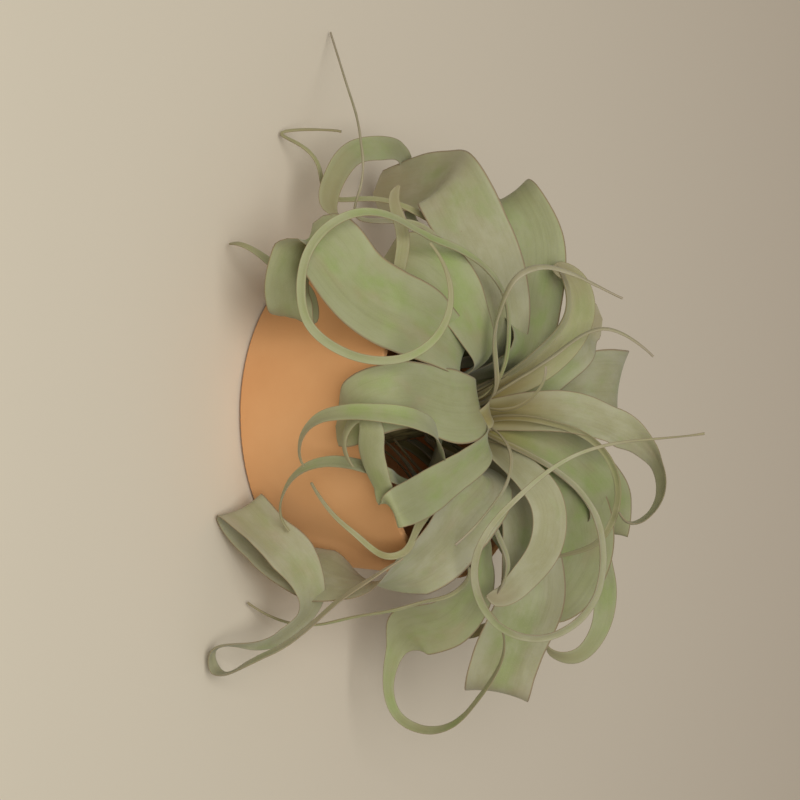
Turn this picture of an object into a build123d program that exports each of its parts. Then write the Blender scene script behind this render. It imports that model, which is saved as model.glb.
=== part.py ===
from build123d import *
import math
import os

# Terracotta holder, a plain drum that opens a little towards its mouth
pot_height = 75
pot_top_radius = 76
pot_draft = 3.5
pot_wall = 3.4
pot_floor = 4
rim_round = 0.8
foot_round = 1.2

# Thin pad under the foot
pad_thickness = 1
pad_inset = 2.5

# Short stem that carries the rosette
stem_bottom = 22
stem_length = 66
stem_base_radius = 16.8
stem_tip_radius = 3.6
stem_tip_round = 2.4
stem_base_round = 5

# Leaves
leaf_width = 38
leaf_thickness = 1
leaf_tip_width = 1.2
leaf_seat_gap = 0.3
section_spacing = 14
section_bend = 18
walk_step = 0.8

# Shares of a leaf's own width and length that most leaves have
seat_width_share = 0.25
usual_grow_share = 0.28
usual_neck_share = 0.7
tip_power = 1.3

overall_height = pad_thickness + pot_height
pot_base_radius = pot_top_radius - pot_draft
inner_top_radius = pot_top_radius - pot_wall
inner_base_radius = pot_base_radius - pot_wall

# Each leaf starts on the stem at an azimuth in degrees and a share of the stem's length.
# Its route is in shares of the holder's top radius, top radius and overall height,
# its width in shares of the widest leaf, and its turns in degrees at the route's points.
leaves = {
    "leaf_back_tall": {
        "azimuth": 85, "seat_share": 0.94, "width_share": 0.5, "waist_share": 0.41,
        "turns": [0, 0, 5, 15, 30, 50, 60, 60, 60, 60],
        "route_shares": [
            (-0.02, 0.16, 1.39), (-0.01, 0.26, 1.64), (0.06, 0.39, 1.82), (0.16, 0.53, 1.95),
            (0.3, 0.58, 2.05), (0.46, 0.58, 2.08), (0.6, 0.53, 2.03), (0.66, 0.45, 1.94),
            (0.59, 0.39, 1.88),
        ],
    },
    "leaf_back_square": {
        "azimuth": 98, "seat_share": 0.73, "width_share": 1., "waist_share": 0.74,
        "grow_share": 0.5,
        "route_shares": [
            (-0.13, 0.39, 1.24), (-0.16, 0.75, 1.37), (-0.18, 1., 1.49), (-0.18, 1.16, 1.5),
            (-0.17, 1.42, 1.47), (-0.16, 1.5, 1.29),
        ],
    },
    "leaf_back_left_pale": {
        "azimuth": 126, "seat_share": 0.79, "width_share": 0.53, "waist_share": 0.62,
        "grow_share": 0.5,
        "route_shares": [
            (-0.17, 0.34, 1.31), (-0.33, 0.5, 1.45), (-0.46, 0.63, 1.53), (-0.56, 0.76, 1.49),
            (-0.61, 0.89, 1.55),
        ],
    },
    "leaf_left_arch_upper": {
        "azimuth": 146, "seat_share": 0.88, "width_share": 0.32, "waist_share": 0.55,
        "grow_share": 0.5,
        "route_shares": [
            (-0.22, 0.13, 1.36), (-0.38, 0.24, 1.55), (-0.57, 0.32, 1.65), (-0.74, 0.34, 1.65),
            (-0.86, 0.33, 1.58), (-0.9, 0.28, 1.48),
        ],
    },
    "leaf_left_arch_dark": {
        "azimuth": 172, "seat_share": 0.8, "width_share": 0.24, "waist_share": 0.55,
        "grow_share": 0.5,
        "route_shares": [
            (-0.27, 0.01, 1.35), (-0.43, 0, 1.57), (-0.59, 0.03, 1.69), (-0.76, 0.04, 1.69),
            (-0.89, 0.01, 1.64),
        ],
    },
    "leaf_thin_left_hook": {
        "azimuth": 205, "seat_share": 0.92, "width_share": 0.12, "waist_share": 0.43,
        "turns": [0, 0, 0, 25, 45, 60, 60, 60, 60],
        "route_shares": [
            (-0.18, -0.14, 1.31), (-0.42, -0.24, 1.35), (-0.65, -0.32, 1.44), (-0.81, -0.32, 1.54),
            (-0.87, -0.22, 1.63), (-0.86, -0.11, 1.71), (-0.79, 0, 1.85), (-0.69, 0.11, 2.02),
        ],
    },
    "leaf_thin_up_left": {
        "azimuth": 158, "seat_share": 0.94, "width_share": 0.12, "waist_share": 0.38,
        "turns": [0, 10, 20, 25, 30, 35, 40],
        "route_shares": [
            (-0.21, 0.01, 1.37), (-0.35, 0.11, 1.56), (-0.47, 0.18, 1.71), (-0.52, 0.24, 1.83),
            (-0.47, 0.29, 1.98), (-0.35, 0.34, 2.12),
        ],
    },
    "leaf_thin_arc": {
        "azimuth": 175, "seat_share": 0.98, "width_share": 0.08, "waist_share": 0.55,
        "route_shares": [
            (-0.05, 0, 1.38), (-0.12, -0.01, 1.5), (-0.2, -0.03, 1.57), (-0.29, -0.04, 1.59),
        ],
    },
    "leaf_big_ring": {
        "azimuth": 5, "seat_share": 0.91, "width_share": 0.13, "waist_share": 0.55,
        "turns": [0, 0, 5, 5, 10, 10, 10, 10, 10, 10, 10, 10,
                  10, 10, 10, 10, 10],
        "route_shares": [
            (0.21, 0.04, 1.37), (0.39, 0.12, 1.66), (0.6, 0.16, 1.82), (0.83, 0.16, 1.87),
            (1.07, 0.11, 1.85), (1.24, 0.03, 1.74), (1.32, -0.08, 1.57), (1.26, -0.21, 1.39),
            (1.09, -0.34, 1.31), (0.87, -0.45, 1.33), (0.66, -0.49, 1.44), (0.46, -0.43, 1.61),
            (0.29, -0.33, 1.79), (0.19, -0.21, 1.97), (0.14, -0.11, 2.22), (0.1, 0, 2.57),
        ],
    },
    "leaf_narrow_arch": {
        "azimuth": 55, "seat_share": 0.95, "width_share": 0.09, "waist_share": 0.66,
        "route_shares": [
            (0.02, 0.07, 1.44), (0.07, 0.17, 1.62), (0.15, 0.28, 1.75), (0.29, 0.36, 1.84),
            (0.46, 0.42, 1.86), (0.64, 0.46, 1.81), (0.79, 0.46, 1.7), (0.85, 0.43, 1.57),
            (0.88, 0.39, 1.46),
        ],
    },
    "leaf_back_right_broad": {
        "azimuth": 42, "seat_share": 0.82, "width_share": 0.5, "waist_share": 0.62,
        "route_shares": [
            (0.12, 0.22, 1.33), (0.24, 0.45, 1.5), (0.4, 0.67, 1.6), (0.61, 0.87, 1.61),
            (0.78, 1.03, 1.52), (0.75, 1.11, 1.53),
        ],
    },
    "leaf_right_arch": {
        "azimuth": 0, "seat_share": 0.73, "width_share": 0.39, "waist_share": 0.58,
        "turns": [10, 15, 15, 15, 20, 20, 20, 25, 25],
        "route_shares": [
            (0.25, -0.01, 1.31), (0.37, 0, 1.46), (0.49, 0.03, 1.55), (0.64, 0.04, 1.58),
            (0.81, 0.04, 1.54), (0.99, 0.01, 1.41), (1.1, -0.04, 1.29), (1.09, -0.11, 1.23),
        ],
    },
    "leaf_right_square": {
        "azimuth": 16, "seat_share": 0.52, "width_share": 0.82, "waist_share": 0.77,
        "turns": [0, 10, 20, 25, 30, 30, 30, 30, 30, 30],
        "route_shares": [
            (0.3, 0.11, 0.97), (0.53, 0.22, 1.26), (0.87, 0.29, 1.33), (1.08, 0.29, 1.36),
            (1.33, 0.29, 1.29), (1.55, 0.26, 1.2), (1.7, 0.24, 1.13), (1.68, 0.22, 1.04),
            (1.56, 0.22, 1.03),
        ],
    },
    "leaf_back_right_green": {
        "azimuth": 44, "seat_share": 0.67, "width_share": 0.58, "waist_share": 0.62,
        "route_shares": [
            (0.41, 0.54, 1.45), (0.64, 0.74, 1.48), (0.87, 0.82, 1.46), (1.08, 0.82, 1.36),
            (1.22, 0.76, 1.23), (1.22, 0.68, 1.12),
        ],
    },
    "leaf_upper_right_curl": {
        "azimuth": 56, "seat_share": 0.52, "width_share": 0.32, "waist_share": 0.62,
        "turns": [0, 5, 25, 35, 40, 40, 40, 40, 40, 40],
        "route_shares": [
            (0.42, 0.61, 1.18), (0.55, 0.89, 1.45), (0.89, 1.16, 1.5), (1.1, 1.14, 1.55),
            (1.3, 1.08, 1.49), (1.47, 1., 1.44), (1.57, 0.91, 1.36), (1.57, 0.84, 1.25),
            (1.49, 0.76, 1.22),
        ],
    },
    "leaf_right_green_loop": {
        "azimuth": -8, "seat_share": 0.42, "width_share": 0.74, "waist_share": 0.27,
        "neck_share": 0.47, "turns": [0, 0, 0, 30, 65, 75, 70, 65, 55, 40, 40, 40, 40, 40, 40],
        "route_shares": [
            (0.53, -0.03, 1.04), (0.92, -0.01, 1.13), (1.13, 0.03, 1.07), (1.32, 0.04, 0.9),
            (1.41, 0.05, 0.67), (1.55, 0.08, 0.5), (1.74, 0.08, 0.44), (1.92, 0.11, 0.49),
            (1.98, 0.11, 0.7), (1.9, 0.08, 0.93), (1.73, 0.05, 1.1), (1.52, 0.03, 1.25),
            (1.33, -0.04, 1.31), (1.18, -0.12, 1.26),
        ],
    },
    "leaf_front_right_fold": {
        "azimuth": -24, "seat_share": 0.58, "width_share": 0.89, "waist_share": 0.42,
        "neck_share": 0.62,
        "turns": [0, 10, 25, 30, 15, 0, -30, -55, -85, -75, -75, -115,
                  -130, -120, -115, -105, -100, -140, -175, -165, -130, -125, -125, -125, -125],
        "route_shares": [
            (0.25, -0.12, 0.99), (0.39, -0.09, 1.25), (0.59, -0.29, 1.19), (0.77, -0.47, 1.13),
            (0.91, -0.61, 1.), (0.99, -0.68, 0.83), (0.98, -0.75, 0.66), (0.93, -0.8, 0.5),
            (0.87, -0.86, 0.32), (0.74, -0.96, 0.18), (0.54, -1.08, 0.11), (0.66, -1.11, 0.3),
            (0.81, -1.05, 0.45), (1., -0.99, 0.54), (1.18, -0.91, 0.44), (1.29, -1., 0.34),
            (1.32, -1.22, 0.24), (1.38, -1.27, 0.04), (1.46, -1.26, 0.05), (1.42, -1.3, 0.3),
            (1.31, -1.14, 0.47), (1.08, -1., 0.71), (0.9, -0.95, 0.97), (0.81, -0.87, 1.09),
        ],
    },
    "leaf_pot_thin": {
        "azimuth": -30, "seat_share": 0.33, "width_share": 0.24, "waist_share": 0.4,
        "neck_share": 0.55,
        "route_shares": [
            (0.41, -0.22, 0.92), (0.52, -0.53, 1.09), (0.67, -0.71, 1.08), (0.78, -0.83, 1.07),
            (0.8, -0.89, 1.02), (0.77, -0.89, 0.91), (0.69, -0.95, 0.84), (0.59, -1.01, 0.74),
            (0.48, -1.07, 0.67), (0.38, -1.12, 0.63),
        ],
    },
    "leaf_pot_loop": {
        "azimuth": -44, "seat_share": 0.21, "width_share": 0.29, "waist_share": 0.7,
        "route_shares": [
            (0.34, -0.29, 0.82), (0.44, -0.47, 0.96), (0.41, -0.66, 0.97), (0.37, -0.82, 1.02),
            (0.33, -1., 1.06), (0.3, -1.04, 0.98), (0.27, -1.11, 0.89), (0.26, -1.17, 0.76),
            (0.31, -1.2, 0.61), (0.41, -1.17, 0.49), (0.57, -1.09, 0.4), (0.67, -1.03, 0.42),
        ],
    },
    "leaf_front_band": {
        "azimuth": -62, "seat_share": 0.61, "width_share": 0.47, "waist_share": 0.5,
        "neck_share": 0.6, "turns": [-15, -5, -5, -5, -5, 65, 110, 120, 75, 25, 35, 45, 50],
        "route_shares": [
            (0.21, -0.25, 1.29), (0.32, -0.45, 1.23), (0.43, -0.66, 1.15), (0.53, -0.8, 1.1),
            (0.53, -0.99, 1.07), (0.36, -1.16, 1.08), (0.18, -1.25, 1.09), (0.05, -1.24, 1.1),
            (0, -1.11, 1.13), (0.02, -0.92, 1.17), (0.08, -0.78, 1.18), (0.14, -0.71, 1.18),
        ],
    },
    "leaf_front_narrow_loop": {
        "azimuth": -64, "seat_share": 0.48, "width_share": 0.17, "waist_share": 0.58,
        "route_shares": [
            (0.2, -0.38, 1.04), (0.38, -0.5, 1.06), (0.28, -0.55, 1.12), (0.14, -0.84, 1.29),
            (0.03, -1.04, 1.33), (-0.04, -1.16, 1.24), (-0.06, -1.26, 1.11), (-0.05, -1.33, 0.95),
            (-0.01, -1.34, 0.82), (0.08, -1.33, 0.72), (0.17, -1.32, 0.68), (0.28, -1.29, 0.69),
        ],
    },
    "leaf_front_drape": {
        "azimuth": -104, "seat_share": 0.73, "width_share": 0.79, "waist_share": 0.62,
        "grow_share": 0.52,
        "route_shares": [
            (-0.07, -0.22, 1.18), (-0.1, -0.53, 1.17), (-0.11, -0.82, 1.12), (-0.11, -1.01, 1.11),
            (-0.1, -1.13, 1.05), (-0.06, -1.18, 0.97), (0.04, -1.21, 0.92), (0.15, -1.18, 0.9),
        ],
    },
    "leaf_front_left_scroll": {
        "azimuth": -128, "seat_share": 0.33, "width_share": 0.95, "waist_share": 0.6,
        "neck_share": 0.6,
        "turns": [0, -5, -10, -10, -15, -20, -20, -20, 20, 70, 110, 140,
                  145, 145, 145, 145, 145],
        "route_shares": [
            (-0.2, -0.26, 0.84), (-0.27, -0.24, 1.1), (-0.4, -0.47, 1.11), (-0.51, -0.72, 1.08),
            (-0.63, -0.97, 1.01), (-0.81, -1.17, 0.89), (-0.96, -1.29, 0.78), (-0.96, -1.29, 0.63),
            (-0.82, -1.25, 0.53), (-0.67, -1.2, 0.52), (-0.57, -1.12, 0.57), (-0.63, -1.03, 0.6),
            (-0.75, -1., 0.48), (-0.87, -1.04, 0.33), (-0.95, -1.12, 0.25), (-1.01, -1.07, 0.03),
        ],
    },
    "leaf_left_ring": {
        "azimuth": 196, "seat_share": 0.83, "width_share": 0.15, "waist_share": 0.74,
        "route_shares": [
            (-0.27, -0.09, 1.33), (-0.5, -0.09, 1.37), (-0.7, -0.14, 1.37), (-0.87, -0.32, 1.33),
            (-0.97, -0.54, 1.26), (-1.03, -0.79, 1.19), (-1.11, -1.01, 1.12), (-1.13, -1.22, 1.03),
            (-1.05, -1.38, 0.92), (-0.9, -1.46, 0.83), (-0.71, -1.47, 0.79), (-0.52, -1.45, 0.82),
            (-0.38, -1.36, 0.94), (-0.31, -1.24, 1.12), (-0.34, -1.13, 1.3), (-0.47, -1.05, 1.43),
            (-0.64, -1.04, 1.49), (-0.83, -1.08, 1.47), (-0.95, -1.13, 1.41),
        ],
    },
    "leaf_long_left_tip": {
        "azimuth": -172, "seat_share": 0.18, "width_share": 0.09, "waist_share": 0.55,
        "route_shares": [
            (-0.55, -0.13, 0.97), (-0.92, -0.24, 1.03), (-1.13, -0.34, 0.92), (-1.19, -0.74, 0.69),
            (-1.37, -0.79, 0.77), (-1.55, -0.76, 0.75), (-1.76, -0.58, 0.61), (-1.99, -0.34, 0.4),
            (-2.23, -0.13, 0.2), (-2.45, 0.04, 0.03),
        ],
    },
    "leaf_left_pale": {
        "azimuth": -142, "seat_share": 0.52, "width_share": 0.58, "waist_share": 0.66,
        "grow_share": 0.4,
        "route_shares": [
            (-0.2, -0.18, 1.01), (-0.33, -0.14, 1.21), (-0.51, -0.3, 1.25), (-0.72, -0.46, 1.2),
            (-0.88, -0.58, 1.08), (-0.93, -0.66, 0.93), (-0.91, -0.66, 0.83),
        ],
    },
    "leaf_left_broad": {
        "azimuth": 188, "seat_share": 0.45, "width_share": 0.79, "waist_share": 0.66,
        "grow_share": 0.4, "turns": [0, -15, -25, -30, -30, -30, -30, -30, -30, -30, -30],
        "route_shares": [
            (-0.33, 0.04, 1.), (-0.4, 0.09, 1.21), (-0.64, 0.01, 1.27), (-0.92, -0.08, 1.22),
            (-1.19, -0.12, 1.09), (-1.4, -0.16, 1.02), (-1.53, -0.17, 0.93), (-1.52, -0.16, 0.76),
            (-1.44, -0.12, 0.61), (-1.39, -0.09, 0.46),
        ],
    },
    "leaf_upper_left": {
        "azimuth": 162, "seat_share": 0.58, "width_share": 0.68, "waist_share": 0.62,
        "grow_share": 0.4, "turns": [0, -5, -15, -20, -25, -30, -30, -30, -30, -30],
        "route_shares": [
            (-0.26, 0.12, 1.08), (-0.36, 0.11, 1.34), (-0.61, 0.28, 1.33), (-0.89, 0.32, 1.38),
            (-1.17, 0.32, 1.36), (-1.36, 0.29, 1.27), (-1.43, 0.25, 1.12), (-1.4, 0.2, 1.01),
            (-1.33, 0.14, 1.05),
        ],
    },
    "leaf_lower_left_curl": {
        "azimuth": -152, "seat_share": 0.3, "width_share": 0.34, "waist_share": 0.7,
        "route_shares": [
            (-0.38, -0.2, 0.79), (-0.62, -0.28, 1.05), (-1., -0.39, 1.11), (-1.23, -0.58, 0.94),
            (-1.43, -0.57, 0.89), (-1.6, -0.57, 0.76), (-1.58, -0.59, 0.59), (-1.44, -0.62, 0.47),
            (-1.28, -0.62, 0.44), (-1.19, -0.59, 0.48),
        ],
    },
    "leaf_floor_hook": {
        "azimuth": 178, "seat_share": 0.21, "width_share": 0.13, "waist_share": 0.49,
        "route_shares": [
            (-0.61, 0.05, 0.97), (-0.97, 0.03, 1.05), (-1.21, -0.13, 0.82), (-1.32, -0.32, 0.53),
            (-1.34, -0.5, 0.34), (-1.52, -0.5, 0.28), (-1.65, -0.54, 0.17), (-1.73, -0.53, 0.03),
            (-1.75, -0.46, 0.21), (-1.73, -0.41, 0.39),
        ],
    },
    "leaf_left_thin": {
        "azimuth": -136, "seat_share": 0.21, "width_share": 0.13, "waist_share": 0.79,
        "route_shares": [
            (-0.43, -0.43, 0.92), (-0.61, -0.61, 1.05), (-0.71, -0.68, 1.05), (-0.74, -0.74, 1.01),
            (-0.95, -0.79, 1.04), (-1.12, -0.79, 1.02), (-1.28, -0.76, 0.97), (-1.33, -0.74, 0.99),
        ],
    },
    "leaf_right_thin": {
        "azimuth": -4, "seat_share": 0.15, "width_share": 0.11, "waist_share": 0.49,
        "route_shares": [
            (0.53, -0.12, 0.79), (0.82, -0.25, 1.05), (0.93, -0.25, 1.19), (1.05, -0.33, 1.13),
            (1.1, -0.39, 1.), (1.17, -0.45, 0.76), (1.22, -0.53, 0.52), (1.27, -0.61, 0.29),
            (1.22, -0.76, 0.14), (1.12, -0.89, 0.03),
        ],
    },
    "leaf_thin_front_right": {
        "azimuth": -35, "seat_share": 0.95, "width_share": 0.07, "waist_share": 0.55,
        "route_shares": [
            (0.11, -0.08, 1.3), (0.22, -0.13, 1.4), (0.37, -0.21, 1.43), (0.51, -0.33, 1.4),
            (0.63, -0.43, 1.34), (0.75, -0.54, 1.25),
        ],
    },
    "leaf_crown_cup": {
        "azimuth": -76, "seat_share": 0.97, "width_share": 0.16, "waist_share": 0.62,
        "route_shares": [
            (0, -0.14, 1.26), (0.02, -0.17, 1.25), (0.03, -0.17, 1.2),
        ],
    },
    "leaf_pink_arch": {
        "azimuth": 2, "seat_share": 0.62, "width_share": 0.16, "waist_share": 0.55,
        "route_shares": [
            (0.45, -0.01, 1.16), (0.72, -0.05, 1.27), (0.88, -0.05, 1.34), (1.06, -0.03, 1.28),
            (1.13, -0.01, 1.21),
        ],
    },
    "leaf_back_left_low": {
        "azimuth": 134, "seat_share": 0.36, "width_share": 0.68, "waist_share": 0.58,
        "route_shares": [
            (-0.34, 0.54, 1.08), (-0.63, 0.88, 1.05), (-0.87, 1.11, 0.79), (-0.92, 1.21, 0.47),
            (-0.84, 1.13, 0.24), (-0.74, 1.05, 0.29),
        ],
    },
    "leaf_back_low": {
        "azimuth": 104, "seat_share": 0.55, "width_share": 0.79, "waist_share": 0.58,
        "route_shares": [
            (-0.08, 0.5, 1.16), (-0.13, 1., 1.21), (-0.16, 1.39, 0.92), (-0.16, 1.47, 0.53),
            (-0.13, 1.34, 0.21), (-0.11, 1.18, 0.26),
        ],
    },
    "leaf_back_right_low": {
        "azimuth": 84, "seat_share": 0.21, "width_share": 0.58, "waist_share": 0.58,
        "route_shares": [
            (0, 0.47, 0.92), (0.11, 0.89, 1.12), (0.26, 1.28, 0.87), (0.32, 1.39, 0.47),
            (0.26, 1.29, 0.18),
        ],
    },
    "leaf_back_far_left": {
        "azimuth": 156, "seat_share": 0.24, "width_share": 0.68, "waist_share": 0.55,
        "route_shares": [
            (-0.55, 0.32, 0.97), (-1.05, 0.51, 1.13), (-1.39, 0.75, 0.87), (-1.5, 0.87, 0.47),
            (-1.37, 0.79, 0.21),
        ],
    },
    "leaf_back_far_right": {
        "azimuth": 26, "seat_share": 0.24, "width_share": 0.63, "waist_share": 0.55,
        "route_shares": [
            (0.55, 0.29, 0.97), (1.03, 0.55, 1.12), (1.37, 0.74, 0.84), (1.45, 0.79, 0.45),
            (1.32, 0.71, 0.18),
        ],
    },
}


def seat_point(leaf):
    # A point just off the tapered stem, where the leaf's end face stands
    rise = leaf["seat_share"]
    radius = stem_base_radius + (stem_tip_radius - stem_base_radius) * rise
    reach = radius + leaf_seat_gap + leaf_thickness / 2
    angle = math.radians(leaf["azimuth"])
    height = stem_bottom + stem_length * rise
    return Vector(reach * math.cos(angle), reach * math.sin(angle), height)


def route_points(leaf):
    points = [seat_point(leaf)]
    for x_share, y_share, z_share in leaf["route_shares"]:
        points.append(Vector(x_share * pot_top_radius, y_share * pot_top_radius, z_share * overall_height))
    return points


def chord_shares(points):
    # Where each point lies along the route, from 0 at the stem to 1 at the tip
    runs = [(end - start).length for start, end in zip(points, points[1:])]
    return [sum(runs[:i]) / sum(runs) for i in range(len(points))]


def between(share, stations, values):
    # Straight interpolation of values at stations
    for i in range(1, len(stations)):
        if share <= stations[i]:
            part = (share - stations[i - 1]) / (stations[i] - stations[i - 1])
            return values[i - 1] + (values[i] - values[i - 1]) * part
    return values[-1]


def width_at(leaf, share):
    # Narrow at the stem, widest at the grow share, slimmer at the neck, then to the tip
    full = leaf["width_share"] * leaf_width
    waist = full * leaf["waist_share"]
    grow = leaf.get("grow_share", usual_grow_share)
    neck = leaf.get("neck_share", usual_neck_share)
    if share < grow:
        grown = (1 - math.cos(math.pi * share / grow)) / 2
        return full * (seat_width_share + (1 - seat_width_share) * grown)
    if share < neck:
        return full + (waist - full) * (share - grow) / (neck - grow)
    late = (share - neck) / (1 - neck)
    return waist + (leaf_tip_width - waist) * late**tip_power


def across(vector, direction):
    # The part of a vector that lies square to a direction, as a unit vector
    return (vector - direction * vector.dot(direction)).normalized()


def leaf_sections(leaf):
    # Planes square to the route, turned about it as the leaf twists, with a width each.
    # A walk along the route lays one when it has gone far enough or bent and twisted enough.
    points = route_points(leaf)
    stations = chord_shares(points)
    turns = leaf.get("turns", [0] * len(points))
    with BuildLine():
        line = Spline(*points)
    steps = round(line.length / walk_step)
    side = across(Vector(0, 0, 1).cross(points[1] - points[0]), line % 0)
    sections = []
    since_last = 0
    for step in range(steps + 1):
        share = step / steps
        direction = line % share
        side = across(side, direction)
        turn = math.radians(between(share, stations, turns))
        edge = side * math.cos(turn) + direction.cross(side) * math.sin(turn)
        if step > 0:
            bend = old_direction.get_angle(direction) + old_edge.get_angle(edge)
            since_last += line.length / steps / section_spacing + bend / section_bend
        if step in (0, steps) or since_last >= 1:
            plane = Plane(origin=line @ share, x_dir=edge, z_dir=direction)
            sections.append((plane, width_at(leaf, share)))
            since_last = 0
        old_direction, old_edge = direction, edge
    return sections


os.makedirs("parts", exist_ok=True)

# Holder: one revolved wall and floor
with BuildPart() as holder_pot:
    with BuildSketch(Plane.XZ):
        with BuildLine():
            Polyline(
                (0, pad_thickness),
                (pot_base_radius, pad_thickness),
                (pot_top_radius, overall_height),
                (inner_top_radius, overall_height),
                (inner_base_radius, pad_thickness + pot_floor),
                (0, pad_thickness + pot_floor),
                close=True,
            )
        make_face()
    revolve(axis=Axis.Z)
    rims = holder_pot.edges().filter_by(GeomType.CIRCLE).group_by(Axis.Z)
    fillet(rims[-1], rim_round)
    fillet(rims[0], foot_round)
holder_pot.part.label = "holder_pot"
export_step(holder_pot.part, "parts/holder_pot.step")

# Pad that the holder stands on
with BuildPart() as base_pad:
    with BuildSketch():
        Circle(pot_base_radius - pad_inset)
    extrude(amount=pad_thickness)
base_pad.part.label = "base_pad"
export_step(base_pad.part, "parts/base_pad.step")

# Stem: a rounded taper
with BuildPart() as plant_stem:
    with BuildSketch(Plane.XZ):
        with BuildLine():
            Polyline(
                (0, stem_bottom),
                (stem_base_radius, stem_bottom),
                (stem_tip_radius, stem_bottom + stem_length),
                (0, stem_bottom + stem_length),
                close=True,
            )
        make_face()
    revolve(axis=Axis.Z)
    ends = plant_stem.edges().filter_by(GeomType.CIRCLE).sort_by(Axis.Z)
    fillet(ends[0], stem_base_round)
    fillet(ends[-1], stem_tip_round)
plant_stem.part.label = "plant_stem"
export_step(plant_stem.part, "parts/plant_stem.step")

# Leaves, each lofted through thin sections along its own curling route
for name, leaf in leaves.items():
    with BuildPart() as blade:
        for plane, width in leaf_sections(leaf):
            with BuildSketch(plane):
                Rectangle(width, leaf_thickness)
        loft(ruled=True)
    blade.part.label = name
    export_step(blade.part, f"parts/{name}.step")
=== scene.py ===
import math

import bpy
import numpy as np
from mathutils import Matrix, Vector


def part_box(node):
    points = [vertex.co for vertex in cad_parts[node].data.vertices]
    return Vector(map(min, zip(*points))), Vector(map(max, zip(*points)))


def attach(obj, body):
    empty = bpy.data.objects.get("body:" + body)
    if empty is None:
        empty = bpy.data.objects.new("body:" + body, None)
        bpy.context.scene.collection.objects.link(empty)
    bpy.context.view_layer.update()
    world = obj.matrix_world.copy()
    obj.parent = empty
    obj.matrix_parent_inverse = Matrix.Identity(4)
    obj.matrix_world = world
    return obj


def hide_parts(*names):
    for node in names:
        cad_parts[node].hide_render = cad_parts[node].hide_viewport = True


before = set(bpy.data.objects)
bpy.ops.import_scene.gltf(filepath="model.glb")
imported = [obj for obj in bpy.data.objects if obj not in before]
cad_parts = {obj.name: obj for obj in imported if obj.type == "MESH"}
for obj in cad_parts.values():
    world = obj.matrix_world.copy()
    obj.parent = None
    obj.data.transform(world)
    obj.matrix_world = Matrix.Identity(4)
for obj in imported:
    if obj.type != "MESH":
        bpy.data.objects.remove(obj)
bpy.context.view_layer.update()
mm = 0.001


# sRGB hex to the linear colour that shaders take
def linearColour(code):
    values = [int(code[i:i + 2], 16) / 255 for i in (0, 2, 4)]
    return [v / 12.92 if v <= 0.04045 else ((v + 0.055) / 1.055) ** 2.4 for v in values] + [1]


# one node with its settings and links: links map an input to another node's output or to a plain value
def addNode(tree, kind, settings=None, links=None):
    node = tree.nodes.new(kind)
    for name, value in (settings or {}).items():
        setattr(node, name, value)
    for key, value in (links or {}).items():
        socket = node.inputs[key]
        if isinstance(value, bpy.types.NodeSocket):
            tree.links.new(value, socket)
        else:
            socket.default_value = value
    return node


# the camera sees the holder from 30 degrees above, turned a quarter as the photograph is
cameraSetup = {
    "elevation": 30.03,      # degrees
    "distance": 870 * mm,    # along the sight line to the base
    "shiftLeft": 6.92 * mm,  # how far it stands off that line
    "shiftUp": 37.29 * mm,
    "focalPixels": 1785,
    "pictureWidth": 800,     # pixels
    "sensorWidth": 36,       # millimetres, as Blender counts them
    "farthest": 20,          # metres that it still sees
}


def placeCamera(setup):
    elevation = math.radians(setup["elevation"])
    up = Vector((0, math.sin(elevation), math.cos(elevation)))
    back = Vector((0, -math.cos(elevation), math.sin(elevation)))
    data = bpy.data.cameras.new("photoCamera")
    data.sensor_width = setup["sensorWidth"]
    data.lens = setup["sensorWidth"] * setup["focalPixels"] / setup["pictureWidth"]
    data.clip_end = setup["farthest"]
    camera = bpy.data.objects.new("photoCamera", data)
    bpy.context.collection.objects.link(camera)
    place = back * setup["distance"] + up * setup["shiftUp"] + Vector((-setup["shiftLeft"], 0, 0))
    camera.matrix_world = Matrix((
        (up.x, -1, back.x, place.x),
        (up.y, 0, back.y, place.y),
        (up.z, 0, back.z, place.z),
        (0, 0, 0, 1),
    ))
    bpy.context.scene.camera = camera


placeCamera(cameraSetup)
print("camera placed")

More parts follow.
